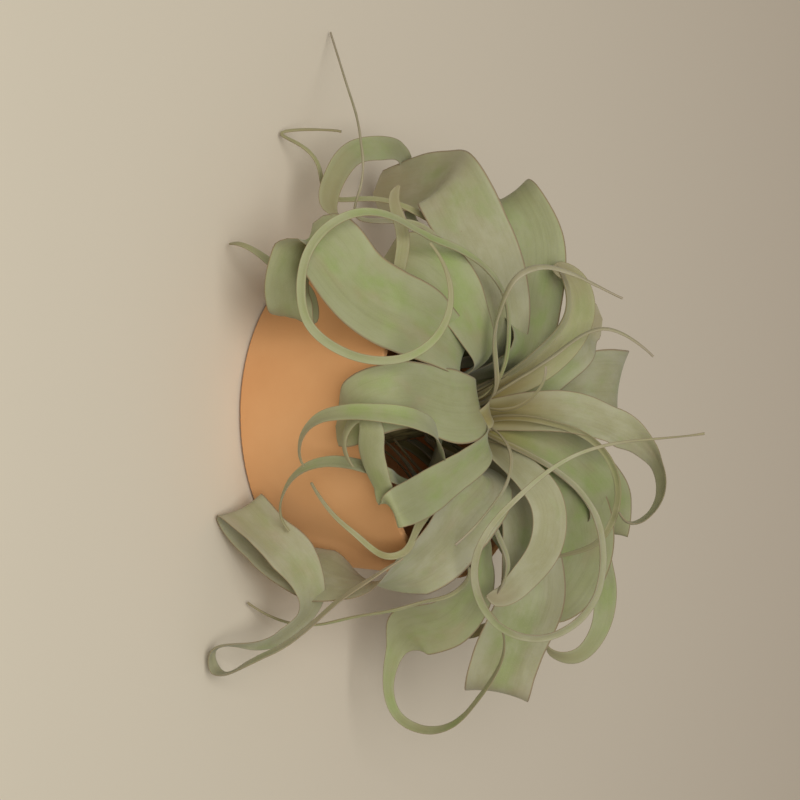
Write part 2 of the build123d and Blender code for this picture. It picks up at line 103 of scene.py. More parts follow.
# Each leaf has its place round the stem in degrees, its seat as a share of the way up it, its width as a
# share of the widest leaf's, its skin, and its route in shares of the rim radius and the holder's height.
# Widths and turns have an entry for the seat and one for each point of the route: a share of the leaf's
# own width, and degrees about the route. A leaf without widths narrows to its waist, a share too, at its
# neck. A cup or a neck here takes the place of the one in leafBuild.
leaves = {
    "leaf_back_tall": {
        "azimuth": 85, "seat": 0.94, "width": 0.53, "skin": "silver",
        "widths": [0.7, 0.95, 1, 0.95, 0.72, 0.62, 0.55, 0.45, 0.4, 0.2],
        "turns": [-15, -20, -30, -40, 20, 55, 60, 65, 55, 50],
        "route": [
            (-0.02, 0.16, 1.39), (-0.01, 0.26, 1.64), (0.06, 0.39, 1.82), (0.16, 0.53, 1.95),
            (0.3, 0.58, 2.05), (0.46, 0.58, 2.08), (0.6, 0.53, 2.03), (0.66, 0.45, 1.94),
            (0.59, 0.39, 1.88),
        ],
    },
    "leaf_back_square": {
        "azimuth": 98, "seat": 0.73, "width": 1, "cup": 30, "skin": "silver",
        "widths": [0.45, 0.75, 0.95, 1, 1, 1, 0.9],
        "route": [
            (-0.13, 0.39, 1.24), (-0.16, 0.75, 1.37), (-0.18, 1, 1.5), (-0.18, 1.12, 1.53),
            (-0.17, 1.34, 1.47), (-0.16, 1.38, 1.32),
        ],
    },
    "leaf_back_left_pale": {
        "azimuth": 126, "seat": 0.79, "width": 0.58, "skin": "silver",
        "widths": [0.7, 1, 1, 1, 1, 0.8],
        "route": [
            (-0.17, 0.34, 1.31), (-0.33, 0.5, 1.45), (-0.46, 0.63, 1.53), (-0.56, 0.76, 1.49),
            (-0.61, 0.89, 1.55),
        ],
    },
    "leaf_left_arch_upper": {
        "azimuth": 146, "seat": 0.88, "width": 0.34, "skin": "olive",
        "widths": [0.9, 1, 1, 1, 0.9, 0.7, 0.5],
        "turns": [0, -25, -40, -50, -55, -55, -55],
        "route": [
            (-0.22, 0.13, 1.36), (-0.38, 0.24, 1.55), (-0.57, 0.32, 1.65), (-0.74, 0.34, 1.65),
            (-0.86, 0.33, 1.58), (-0.9, 0.28, 1.48),
        ],
    },
    "leaf_left_arch_dark": {
        "azimuth": 172, "seat": 0.8, "width": 0.24, "skin": "olive",
        "widths": [0.9, 1, 1, 0.9, 0.8, 0.7],
        "route": [
            (-0.27, 0.01, 1.35), (-0.43, 0, 1.57), (-0.59, 0.03, 1.69), (-0.76, 0.04, 1.69),
            (-0.89, 0.01, 1.64),
        ],
    },
    "leaf_thin_left_hook": {
        "azimuth": 205, "seat": 0.92, "width": 0.13, "skin": "rose",
        "widths": [0.7, 1, 1, 1, 1, 0.9, 0.75, 0.5, 0.2],
        "turns": [0, 0, 0, 25, 45, 60, 60, 60, 60],
        "route": [
            (-0.18, -0.14, 1.31), (-0.42, -0.24, 1.35), (-0.65, -0.32, 1.44), (-0.81, -0.32, 1.54),
            (-0.87, -0.22, 1.63), (-0.86, -0.11, 1.71), (-0.79, 0, 1.85), (-0.69, 0.11, 2.02),
        ],
    },
    "leaf_thin_up_left": {
        "azimuth": 158, "seat": 0.94, "width": 0.13, "skin": "rose",
        "widths": [0.7, 1, 0.95, 0.85, 0.7, 0.45, 0.15],
        "turns": [0, 10, 20, 25, 30, 35, 40],
        "route": [
            (-0.21, 0.01, 1.37), (-0.35, 0.11, 1.56), (-0.47, 0.18, 1.71), (-0.52, 0.24, 1.83),
            (-0.47, 0.29, 1.98), (-0.35, 0.34, 2.12),
        ],
    },
    "leaf_thin_arc": {
        "azimuth": 175, "seat": 0.98, "width": 0.08, "waist": 0.55, "skin": "rose",
        "route": [
            (-0.05, 0, 1.38), (-0.12, -0.01, 1.5), (-0.2, -0.03, 1.57), (-0.29, -0.04, 1.59),
        ],
    },
    "leaf_big_ring": {
        "azimuth": 5, "seat": 0.91, "width": 0.13, "skin": "silver",
        "widths": [0.8, 1, 1, 1, 1, 1, 1, 0.95, 0.9, 0.85, 0.75, 0.6, 0.5, 0.4, 0.32, 0.22, 0.1],
        "turns": [0, 0, 5, 5, 10, 10, 10, 10, 10, 10, 10, 10, 10, 10, 10, 10, 10],
        "route": [
            (0.21, 0.04, 1.37), (0.39, 0.12, 1.66), (0.6, 0.16, 1.82), (0.83, 0.16, 1.87),
            (1.07, 0.11, 1.85), (1.24, 0.03, 1.74), (1.32, -0.08, 1.57), (1.26, -0.21, 1.39),
            (1.09, -0.34, 1.31), (0.87, -0.45, 1.33), (0.66, -0.49, 1.44), (0.46, -0.43, 1.61),
            (0.29, -0.33, 1.79), (0.19, -0.21, 1.97), (0.14, -0.11, 2.22), (0.1, 0, 2.57),
        ],
    },
    "leaf_narrow_arch": {
        "azimuth": 55, "seat": 0.95, "width": 0.12, "skin": "olive",
        "widths": [0.9, 1, 1, 0.95, 0.9, 0.85, 0.75, 0.6, 0.5, 0.3],
        "route": [
            (0.02, 0.07, 1.44), (0.07, 0.17, 1.62), (0.15, 0.28, 1.75), (0.29, 0.36, 1.84),
            (0.46, 0.42, 1.86), (0.64, 0.46, 1.81), (0.79, 0.46, 1.7), (0.85, 0.43, 1.57),
            (0.88, 0.39, 1.46),
        ],
    },
    "leaf_back_right_broad": {
        "azimuth": 42, "seat": 0.82, "width": 0.63, "skin": "green",
        "widths": [0.7, 1, 1, 1, 1, 0.95, 0.8],
        "turns": [-30, -5, 15, 25, 35, 65, 75],
        "route": [
            (0.12, 0.22, 1.33), (0.24, 0.45, 1.5), (0.4, 0.67, 1.6), (0.61, 0.87, 1.61),
            (0.78, 1.03, 1.52), (0.75, 1.11, 1.53),
        ],
    },
    "leaf_right_arch": {
        "azimuth": 0, "seat": 0.73, "width": 0.42, "skin": "silver",
        "widths": [0.8, 1, 1, 1, 1, 0.95, 0.85, 0.6, 0.4],
        "turns": [5, 35, 50, 65, 75, 75, 75, 100, 110],
        "route": [
            (0.25, -0.01, 1.31), (0.37, 0, 1.46), (0.49, 0.03, 1.55), (0.64, 0.04, 1.58),
            (0.81, 0.04, 1.54), (0.99, 0.01, 1.41), (1.1, -0.04, 1.29), (1.09, -0.11, 1.23),
        ],
    },
    "leaf_right_square": {
        "azimuth": 16, "seat": 0.52, "width": 0.84, "skin": "silver",
        "widths": [0.25, 0.55, 0.8, 0.95, 1, 1, 1, 1, 0.95, 0.7],
        "turns": [-5, 5, 15, 40, 55, 60, 60, 60, 50, 40],
        "route": [
            (0.3, 0.11, 0.97), (0.53, 0.22, 1.26), (0.87, 0.29, 1.33), (1.12, 0.29, 1.34),
            (1.34, 0.26, 1.26), (1.56, 0.24, 1.17), (1.7, 0.26, 1.12), (1.75, 0.39, 1.04),
            (1.7, 0.5, 0.96),
        ],
    },
    "leaf_back_right_green": {
        "azimuth": 44, "seat": 0.67, "width": 0.74, "skin": "green",
        "widths": [0.3, 0.85, 1, 1, 1, 0.9, 0.7],
        "turns": [-10, 15, 40, 50, 55, 95, 125],
        "route": [
            (0.41, 0.54, 1.45), (0.64, 0.74, 1.48), (0.87, 0.82, 1.46), (1.08, 0.82, 1.36),
            (1.22, 0.76, 1.23), (1.22, 0.68, 1.12),
        ],
    },
    "leaf_upper_right_curl": {
        "azimuth": 56, "seat": 0.52, "width": 0.55, "skin": "green",
        "widths": [0.4, 0.8, 0.9, 0.75, 0.62, 0.5, 0.42, 0.36, 0.3, 0.2],
        "turns": [0, 20, 30, 60, 65, 65, 55, 45, 10, -20],
        "route": [
            (0.42, 0.61, 1.18), (0.55, 0.89, 1.45), (0.93, 1.11, 1.41), (1.12, 1.09, 1.47),
            (1.3, 1.05, 1.49), (1.47, 1, 1.44), (1.57, 0.92, 1.35), (1.56, 0.84, 1.26),
            (1.49, 0.76, 1.22),
        ],
    },
    "leaf_right_green_loop": {
        "azimuth": -8, "seat": 0.42, "width": 0.82, "skin": "green",
        "widths": [0.25, 0.55, 0.75, 0.85, 0.92, 0.95, 0.3, 0.17, 0.15, 0.15, 0.15, 0.14, 0.12, 0.1,
                   0.05],
        "turns": [0, 0, 0, 40, 60, 70, 55, 55, 50, 40, 40, 40, 40, 40, 40],
        "route": [
            (0.53, -0.03, 1.04), (0.92, -0.01, 1.13), (1.12, 0.03, 1.03), (1.28, 0.03, 0.87),
            (1.36, 0.05, 0.62), (1.48, 0.11, 0.48), (1.7, 0.09, 0.43), (1.9, 0.11, 0.48),
            (1.98, 0.11, 0.7), (1.9, 0.08, 0.93), (1.73, 0.05, 1.1), (1.52, 0.03, 1.25),
            (1.33, -0.04, 1.31), (1.18, -0.12, 1.26),
        ],
    },
    "leaf_front_right_fold": {
        "azimuth": -24, "seat": 0.58, "width": 0.95, "skin": "silver",
        "widths": [0.25, 0.6, 0.8, 0.95, 1, 1, 0.95, 0.92, 0.88, 0.8, 0.72, 0.66, 0.68, 0.68, 0.42, 0.32,
                   0.28, 0.22, 0.2, 0.22, 0.22, 0.18, 0.13, 0.09, 0.05],
        "turns": [0, 10, 25, 30, 15, 0, -30, -55, -85, -75, -75, -115, -130, -120, -115, -105, -100,
                  -140, -175, -165, -130, -125, -125, -125, -125],
        "route": [
            (0.25, -0.12, 0.99), (0.39, -0.09, 1.25), (0.59, -0.29, 1.19), (0.77, -0.47, 1.13),
            (0.91, -0.61, 1), (0.99, -0.68, 0.83), (0.98, -0.75, 0.66), (0.93, -0.8, 0.5),
            (0.87, -0.86, 0.32), (0.74, -0.96, 0.18), (0.54, -1.08, 0.11), (0.66, -1.11, 0.3),
            (0.81, -1.05, 0.45), (1, -0.99, 0.54), (1.18, -0.91, 0.44), (1.29, -1, 0.34),
            (1.32, -1.22, 0.24), (1.38, -1.27, 0.04), (1.46, -1.26, 0.05), (1.42, -1.3, 0.3),
            (1.31, -1.14, 0.47), (1.08, -1, 0.71), (0.9, -0.95, 0.97), (0.81, -0.87, 1.09),
        ],
    },
    "leaf_pot_thin": {
        "azimuth": -30, "seat": 0.33, "width": 0.24, "waist": 0.4, "neck": 0.55, "skin": "olive",
        "route": [
            (0.41, -0.22, 0.92), (0.52, -0.53, 1.09), (0.67, -0.71, 1.08), (0.78, -0.83, 1.07),
            (0.8, -0.89, 1.02), (0.77, -0.89, 0.91), (0.69, -0.95, 0.84), (0.59, -1.01, 0.74),
            (0.48, -1.07, 0.67), (0.38, -1.12, 0.63),
        ],
    },
    "leaf_pot_loop": {
        "azimuth": -44, "seat": 0.21, "width": 0.29, "waist": 0.7, "skin": "green",
        "route": [
            (0.34, -0.29, 0.82), (0.44, -0.47, 0.96), (0.41, -0.66, 0.97), (0.37, -0.82, 1.02),
            (0.33, -1, 1.06), (0.3, -1.04, 0.98), (0.27, -1.11, 0.89), (0.26, -1.17, 0.76),
            (0.31, -1.2, 0.61), (0.41, -1.17, 0.49), (0.57, -1.09, 0.4), (0.67, -1.03, 0.42),
        ],
    },
    "leaf_front_band": {
        "azimuth": -62, "seat": 0.61, "width": 0.5, "skin": "green",
        "widths": [0.5, 0.9, 1, 1, 1, 0.97, 0.5, 0.5, 0.6, 0.62, 0.58, 0.4, 0.24, 0.2, 0.18, 0.12],
        "turns": [-15, -10, -10, 15, 20, 25, -15, -115, -110, -105, -100, -105, -95, -85, -90, -90],
        "route": [
            (0.21, -0.25, 1.29), (0.32, -0.47, 1.24), (0.43, -0.74, 1.19), (0.49, -0.99, 1.19),
            (0.52, -1.11, 1.17), (0.5, -1.01, 1.09), (0.41, -1.04, 1.06), (0.3, -1.12, 1.06),
            (0.16, -1.21, 1.08), (0.05, -1.25, 1.1), (-0.01, -1.25, 1.04), (0.04, -1.25, 0.97),
            (0.15, -1.25, 0.93), (0.24, -1.22, 0.94), (0.28, -1.2, 0.96),
        ],
    },
    "leaf_front_narrow_loop": {
        "azimuth": -64, "seat": 0.48, "width": 0.3, "skin": "green",
        "widths": [0.6, 0.8, 0.9, 1, 1, 1, 0.95, 0.85, 0.75, 0.65, 0.5, 0.38, 0.25],
        "route": [
            (0.2, -0.38, 1.04), (0.4, -0.37, 0.97), (0.29, -0.45, 1.07), (0.17, -0.71, 1.24),
            (0.05, -1.01, 1.33), (0, -1.2, 1.27), (-0.02, -1.3, 1.14), (-0.02, -1.34, 0.98),
            (0.01, -1.34, 0.83), (0.09, -1.33, 0.72), (0.17, -1.32, 0.68), (0.28, -1.29, 0.69),
        ],
    },
    "leaf_front_drape": {
        "azimuth": -104, "seat": 0.73, "width": 0.97, "cup": 18, "skin": "green",
        "widths": [0.4, 0.66, 0.95, 0.8, 0.78, 0.84, 0.8, 0.62, 0.35],
        "turns": [40, 35, 30, 25, 40, 50, 55, 65, 70],
        "route": [
            (-0.06, -0.17, 1.22), (-0.05, -0.5, 1.23), (-0.11, -0.82, 1.17), (-0.11, -1.05, 1.14),
            (-0.07, -1.14, 1.03), (-0.01, -1.14, 0.92), (0.04, -1.09, 0.82), (0.06, -1.04, 0.75),
        ],
    },
    "leaf_front_left_scroll": {
        "azimuth": -128, "seat": 0.33, "width": 0.97, "skin": "green",
        "widths": [0.2, 0.3, 0.5, 0.78, 0.98, 1, 0.95, 0.9, 0.75, 0.6, 0.55, 0.54, 0.5, 0.25, 0.12, 0.08,
                   0.05],
        "turns": [0, -5, -5, -5, -10, -10, -15, -20, 30, 95, 100, 100, 170, 170, 170, 170, 170],
        "route": [
            (-0.2, -0.26, 0.84), (-0.33, -0.29, 1.16), (-0.43, -0.51, 1.19), (-0.54, -0.76, 1.13),
            (-0.63, -0.97, 1.01), (-0.81, -1.17, 0.89), (-0.97, -1.25, 0.79), (-1, -1.29, 0.73),
            (-0.92, -1.3, 0.65), (-0.78, -1.28, 0.58), (-0.64, -1.21, 0.54), (-0.56, -1.11, 0.54),
            (-0.67, -1.01, 0.52), (-0.87, -1.04, 0.33), (-0.95, -1.12, 0.25), (-1.01, -1.07, 0.03),
        ],
    },
    "leaf_left_ring": {
        "azimuth": 196, "seat": 0.83, "width": 0.11, "skin": "green",
        "widths": [0.8, 1, 1, 1, 1, 1, 1, 1, 1, 1, 1, 1, 1, 1, 0.95, 0.9, 0.8, 0.6, 0.4, 0.2],
        "route": [
            (-0.27, -0.09, 1.33), (-0.5, -0.09, 1.37), (-0.7, -0.14, 1.37), (-0.87, -0.32, 1.33),
            (-0.97, -0.54, 1.26), (-1.03, -0.79, 1.19), (-1.11, -1.01, 1.12), (-1.13, -1.22, 1.03),
            (-1.05, -1.38, 0.92), (-0.9, -1.46, 0.83), (-0.71, -1.47, 0.79), (-0.52, -1.45, 0.82),
            (-0.38, -1.36, 0.94), (-0.31, -1.24, 1.12), (-0.34, -1.13, 1.3), (-0.47, -1.05, 1.43),
            (-0.64, -1.04, 1.49), (-0.83, -1.08, 1.47), (-0.95, -1.13, 1.41),
        ],
    },
    "leaf_long_left_tip": {
        "azimuth": -172, "seat": 0.18, "width": 0.09, "waist": 0.55, "skin": "rose",
        "route": [
            (-0.55, -0.13, 0.97), (-0.92, -0.24, 1.03), (-1.13, -0.34, 0.92), (-1.19, -0.74, 0.69),
            (-1.37, -0.79, 0.77), (-1.55, -0.76, 0.75), (-1.76, -0.58, 0.61), (-1.99, -0.34, 0.4),
            (-2.23, -0.13, 0.2), (-2.45, 0.04, 0.03),
        ],
    },
    "leaf_left_pale": {
        "azimuth": -142, "seat": 0.52, "width": 0.79, "skin": "green",
        "widths": [0.35, 0.4, 0.5, 0.72, 0.95, 1, 0.9, 0.75],
        "turns": [-10, -30, -45, -50, -55, -55, -35, -20],
        "route": [
            (-0.2, -0.18, 1.01), (-0.33, -0.14, 1.21), (-0.51, -0.3, 1.25), (-0.72, -0.46, 1.2),
            (-0.88, -0.58, 1.08), (-0.93, -0.66, 0.93), (-0.91, -0.66, 0.83),
        ],
    },
    "leaf_left_broad": {
        "azimuth": 188, "seat": 0.45, "width": 0.87, "skin": "silver",
        "widths": [0.3, 0.6, 0.85, 0.95, 1, 1.05, 1.08, 1, 0.9, 0.75, 0.6],
        "turns": [10, 5, 0, -10, -20, -35, -50, -65, -80, -85, -85],
        "route": [
            (-0.33, 0.04, 1), (-0.4, 0.09, 1.21), (-0.64, 0.01, 1.27), (-0.92, -0.08, 1.23),
            (-1.24, -0.13, 1.08), (-1.41, -0.11, 0.97), (-1.45, 0.03, 0.84), (-1.46, 0.16, 0.62),
            (-1.45, 0.24, 0.4), (-1.43, 0.29, 0.2),
        ],
    },
    "leaf_upper_left": {
        "azimuth": 162, "seat": 0.58, "width": 0.84, "skin": "green",
        "widths": [0.3, 0.6, 0.85, 1, 1, 0.85, 0.82, 0.7, 0.55, 0.4],
        "turns": [35, 25, 20, -40, -40, -50, -60, -60, -40, -30],
        "route": [
            (-0.26, 0.12, 1.08), (-0.36, 0.11, 1.34), (-0.61, 0.28, 1.31), (-0.9, 0.32, 1.34),
            (-1.16, 0.3, 1.32), (-1.31, 0.29, 1.24), (-1.38, 0.36, 1.16), (-1.35, 0.46, 1.07),
            (-1.28, 0.5, 1.03),
        ],
    },
    "leaf_lower_left_curl": {
        "azimuth": -152, "seat": 0.3, "width": 0.32, "skin": "green",
        "widths": [0.4, 0.6, 0.5, 0.45, 0.4, 0.5, 0.75, 1, 1, 0.95, 0.8, 0.5],
        "turns": [0, -20, -35, -60, -70, -70, -10, 15, 40, 70, 70, 80],
        "route": [
            (-0.38, -0.2, 0.79), (-0.62, -0.21, 0.87), (-1, -0.08, 0.82), (-1.34, 0.29, 0.46),
            (-1.55, 0.39, 0.4), (-1.66, 0.18, 0.47), (-1.65, -0.16, 0.5), (-1.59, -0.39, 0.46),
            (-1.44, -0.55, 0.44), (-1.28, -0.61, 0.43), (-1.19, -0.59, 0.48),
        ],
    },
    "leaf_floor_hook": {
        "azimuth": 178, "seat": 0.21, "width": 0.13, "waist": 0.49, "skin": "olive",
        "route": [
            (-0.61, 0.05, 0.97), (-0.97, 0.03, 1.05), (-1.21, -0.13, 0.82), (-1.32, -0.32, 0.53),
            (-1.34, -0.5, 0.34), (-1.52, -0.5, 0.28), (-1.65, -0.54, 0.17), (-1.73, -0.53, 0.03),
            (-1.75, -0.46, 0.21), (-1.73, -0.41, 0.39),
        ],
    },
    "leaf_left_thin": {
        "azimuth": -136, "seat": 0.21, "width": 0.16, "skin": "olive",
        "widths": [0.4, 0.9, 1, 1, 1, 1, 1, 0.8, 0.5],
        "turns": [0, -10, -15, -15, -25, -65, -60, -55, -55],
        "route": [
            (-0.43, -0.43, 0.92), (-0.61, -0.61, 1.05), (-0.71, -0.68, 1.05), (-0.74, -0.74, 1.01),
            (-0.95, -0.79, 1.04), (-1.12, -0.79, 1.02), (-1.28, -0.76, 0.97), (-1.33, -0.74, 0.99),
        ],
    },
    "leaf_right_thin": {
        "azimuth": -4, "seat": 0.15, "width": 0.11, "waist": 0.49, "skin": "olive",
        "route": [
            (0.53, -0.12, 0.79), (0.82, -0.25, 1.05), (0.93, -0.25, 1.19), (1.05, -0.33, 1.13),
            (1.1, -0.39, 1), (1.17, -0.45, 0.76), (1.22, -0.53, 0.52), (1.27, -0.61, 0.29),
            (1.22, -0.76, 0.14), (1.12, -0.89, 0.03),
        ],
    },
    "leaf_thin_front_right": {
        "azimuth": -35, "seat": 0.95, "width": 0.07, "waist": 0.55, "skin": "rose",
        "route": [
            (0.11, -0.08, 1.3), (0.22, -0.13, 1.4), (0.37, -0.21, 1.43), (0.51, -0.33, 1.4),
            (0.63, -0.43, 1.34), (0.75, -0.54, 1.25),
        ],
    },
    "leaf_crown_cup": {
        "azimuth": -76, "seat": 0.97, "width": 0.34, "skin": "silver",
        "widths": [0.6, 1, 1, 0.7],
        "route": [
            (0, -0.14, 1.26), (0.02, -0.17, 1.25), (0.03, -0.17, 1.2),
        ],
    },
    "leaf_pink_arch": {
        "azimuth": 2, "seat": 0.62, "width": 0.16, "skin": "rose",
        "widths": [0.5, 1, 1, 0.9, 0.7, 0.3],
        "route": [
            (0.45, -0.01, 1.16), (0.72, -0.05, 1.27), (0.88, -0.05, 1.34), (1.06, -0.03, 1.28),
            (1.13, -0.01, 1.21),
        ],
    },
    "leaf_back_left_low": {
        "azimuth": 134, "seat": 0.36, "width": 0.68, "waist": 0.58, "skin": "green",
        "route": [
            (-0.34, 0.54, 1.08), (-0.63, 0.88, 1.05), (-0.87, 1.11, 0.79), (-0.92, 1.21, 0.47),
            (-0.84, 1.13, 0.24), (-0.74, 1.05, 0.29),
        ],
    },
    "leaf_back_low": {
        "azimuth": 104, "seat": 0.55, "width": 0.79, "waist": 0.58, "skin": "green",
        "route": [
            (-0.08, 0.5, 1.16), (-0.13, 1, 1.21), (-0.16, 1.39, 0.92), (-0.16, 1.47, 0.53),
            (-0.13, 1.34, 0.21), (-0.11, 1.18, 0.26),
        ],
    },
    "leaf_back_right_low": {
        "azimuth": 84, "seat": 0.21, "width": 0.58, "waist": 0.58, "skin": "green",
        "route": [
            (0, 0.47, 0.92), (0.11, 0.89, 1.12), (0.26, 1.28, 0.87), (0.32, 1.39, 0.47),
            (0.26, 1.29, 0.18),
        ],
    },
    "leaf_back_far_left": {
        "azimuth": 156, "seat": 0.24, "width": 0.68, "waist": 0.55, "skin": "green",
        "route": [
            (-0.55, 0.32, 0.97), (-1.05, 0.51, 1.13), (-1.39, 0.75, 0.87), (-1.5, 0.87, 0.47),
            (-1.37, 0.79, 0.21),
        ],
    },
    "leaf_back_far_right": {
        "azimuth": 26, "seat": 0.24, "width": 0.63, "waist": 0.55, "skin": "green",
        "route": [
            (0.55, 0.29, 0.97), (1.03, 0.55, 1.12), (1.37, 0.74, 0.84), (1.45, 0.79, 0.45),
            (1.32, 0.71, 0.18),
        ],
    },
}

# the CAD's own sizes to the millimetre, because a mesh's circle has flat sides
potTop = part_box("holder_pot")[1]
stemLow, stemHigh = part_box("plant_stem")

# how every leaf is made, in metres where no note says otherwise
leafBuild = {
    "rimRadius": round(potTop.x, 3),
    "height": round(potTop.z, 3),
    "stemBottom": round(stemLow.z, 3),
    "stemLength": round(stemHigh.z - stemLow.z, 3),
    "stemFootRadius": 16.8 * mm,
    "stemTipRadius": 3.6 * mm,
    "seatGap": 0.3 * mm,
    "widestLeaf": 38 * mm,
    "thickness": 1.0 * mm,
    "tipWidth": 1.2 * mm,
    "seatWidth": 0.25,       # share of the width at the stem, on a leaf without widths
    "grow": 0.28,            # share of the length where it is widest
    "neck": 0.7,             # share of the length where its tip starts
    "lateNeck": 0.97,        # the same for a leaf with widths
    "tipPower": 1.3,         # more than 1 keeps a tip broad for longer
    "widthRounds": 6,        # of smoothing from one of its widths to the next
    "cup": 24,               # degrees from the middle of a leaf to its edge
    "channel": 40,           # degrees more on narrow leaves, at most
    "channelUnder": 0.4,     # share of the widest leaf's width under which that begins
    "flatter": 0.4,          # share of the cup that is gone at the tip
    "sunk": 0.4,             # share of the cup's depth from its middle up to the route
    "swell": 0.12,           # share of the width that comes and goes
    "swells": 40,            # in a metre
    "wave": 1.2 * mm,        # how far the edges ripple
    "waves": 75,             # in a metre
    "waveAcross": 1.2,       # more makes the two edges less alike
    "waveShift": 7,          # keeps the ripples off the swells
    "unevenDetail": 1.5,     # of swells and ripples
    "markShift": 37.0,       # keeps one leaf's markings off the next one's
    "routeSteps": 20,        # between two points
    "sectionSpacing": 2.0 * mm,
    "fewestSections": 24,
    "acrossPoints": 28,
}


# the seat, just off the stem, and then the points of the route
def leafPoints(leaf, build):
    angle = math.radians(leaf["azimuth"])
    reach = build["stemFootRadius"] + (build["stemTipRadius"] - build["stemFootRadius"]) * leaf["seat"]
    reach += build["seatGap"] + build["thickness"] / 2
    start = (reach * math.cos(angle), reach * math.sin(angle),
             build["stemBottom"] + build["stemLength"] * leaf["seat"])
    radius = build["rimRadius"]
    return np.array([start] + [(x * radius, y * radius, z * build["height"]) for x, y, z in leaf["route"]])


# slope at the first point of the cubic through four points, so that an end neither flattens nor kinks
def endSlope(stations, points):
    slope = np.zeros(3)
    for i in range(len(stations)):
        if i == 0:
            weight = sum(1 / (stations[0] - station) for station in stations[1:])
        else:
            weight = 1 / (stations[i] - stations[0])
            for j in range(1, len(stations)):
                if j != i:
                    weight *= (stations[0] - stations[j]) / (stations[i] - stations[j])
        slope += weight * points[i]
    return slope


# slopes at the points of the smooth cubic that runs through them all
def routeSlopes(points):
    gaps = np.linalg.norm(np.diff(points, axis=0), axis=1)
    stations = np.concatenate([[0], np.cumsum(gaps)])
    count = len(points)
    rows = np.zeros((count, count))
    known = np.zeros((count, 3))
    rows[0, 0] = rows[-1, -1] = 1
    known[0] = endSlope(stations[:4], points[:4])
    known[-1] = endSlope(stations[::-1][:4], points[::-1][:4])
    for i in range(1, count - 1):
        before, after = gaps[i - 1], gaps[i]
        rows[i, i - 1:i + 2] = after, 2 * (before + after), before
        ahead = (points[i + 1] - points[i]) * before / after
        behind = (points[i] - points[i - 1]) * after / before
        known[i] = 3 * (ahead + behind)
    return np.linalg.solve(rows, known), gaps


# the leaf's middle line as a bezier curve: its tilt is the leaf's turn, its radius the share of the width
def leafRoute(name, leaf, build):
    points = leafPoints(leaf, build)
    slopes, gaps = routeSlopes(points)
    turns = leaf.get("turns", [0] * len(points))
    widths = leaf.get("widths", [1] * len(points))
    data = bpy.data.curves.new(name + "Route", "CURVE")
    data.dimensions = "3D"
    data.resolution_u = build["routeSteps"]
    spline = data.splines.new("BEZIER")
    spline.bezier_points.add(len(points) - 1)
    # at the seat a turn of 0 lays the blade level across the line to the first point
    first = Vector(slopes[0]).normalized()
    level = Vector((0, 0, 1)).cross(first).normalized()
    wanted = Vector((0, 0, 1)).cross(Vector(points[1] - points[0]))
    wanted = (wanted - first * wanted.dot(first)).normalized()
    lead = math.atan2(wanted.dot(first.cross(level)), wanted.dot(level))
    for i, knot in enumerate(spline.bezier_points):
        knot.co = points[i]
        knot.handle_left_type = knot.handle_right_type = "FREE"
        before = gaps[i - 1] if i else gaps[0]
        after = gaps[i] if i < len(gaps) else gaps[-1]
        knot.handle_left = points[i] - slopes[i] * before / 3
        knot.handle_right = points[i] + slopes[i] * after / 3
        knot.tilt = lead + math.radians(turns[i])
        knot.radius = widths[i]
    route = bpy.data.objects.new(name + "Route", data)
    bpy.context.collection.objects.link(route)
    return route, gaps.sum()


